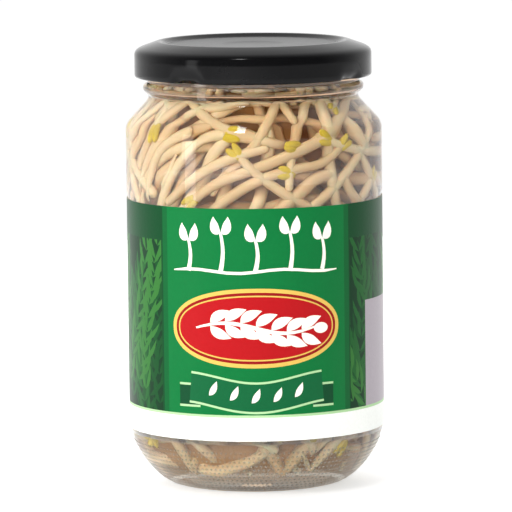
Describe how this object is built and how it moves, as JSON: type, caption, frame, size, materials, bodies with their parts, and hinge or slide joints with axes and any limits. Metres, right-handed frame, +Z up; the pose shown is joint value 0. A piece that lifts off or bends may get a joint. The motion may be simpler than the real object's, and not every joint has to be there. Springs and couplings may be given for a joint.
{
  "type": "jar of bean sprouts",
  "caption": "Straight-sided clear glass jar of pale bean sprouts in brine, with a wrap-round paper label and a black twist-off lid.",
  "frame": {"origin": "centre of the ring that the jar stands on", "axes": "+Z up along the jar's axis, -Y towards the front of the label"},
  "size_m": [0.0716, 0.0718, 0.1241],
  "materials": {
    "jar_glass": "clear soda-lime glass",
    "lid": "black lacquered tinplate",
    "gasket": "pale soft sealing compound",
    "label": "printed coated paper",
    "brine": "clear straw-coloured liquid",
    "sprout_tangle": "moist cream sprouts"
  },
  "bodies": {
    "jar": {"jar_glass": "jar_glass", "label": "label", "brine": "brine", "sprout_tangle": "sprout_tangle"},
    "gasket": {"gasket": "gasket"},
    "lid": {"lid": "lid"}
  },
  "joints": [
    {"name": "lid_rise", "type": "slide", "parent": "jar", "child": "gasket", "axis": [0, 0, 1], "range_m": [0, 0.0021]},
    {"name": "lid_turn", "type": "hinge", "parent": "gasket", "child": "lid", "pos_m": [0, 0, 0.114], "axis": [0, 0, 1], "range_deg": [0, 72]}
  ],
  "couplings": [
    {"joint": "lid_rise", "follows": "lid_turn", "m_per_rad": 0.0015915}
  ]
}
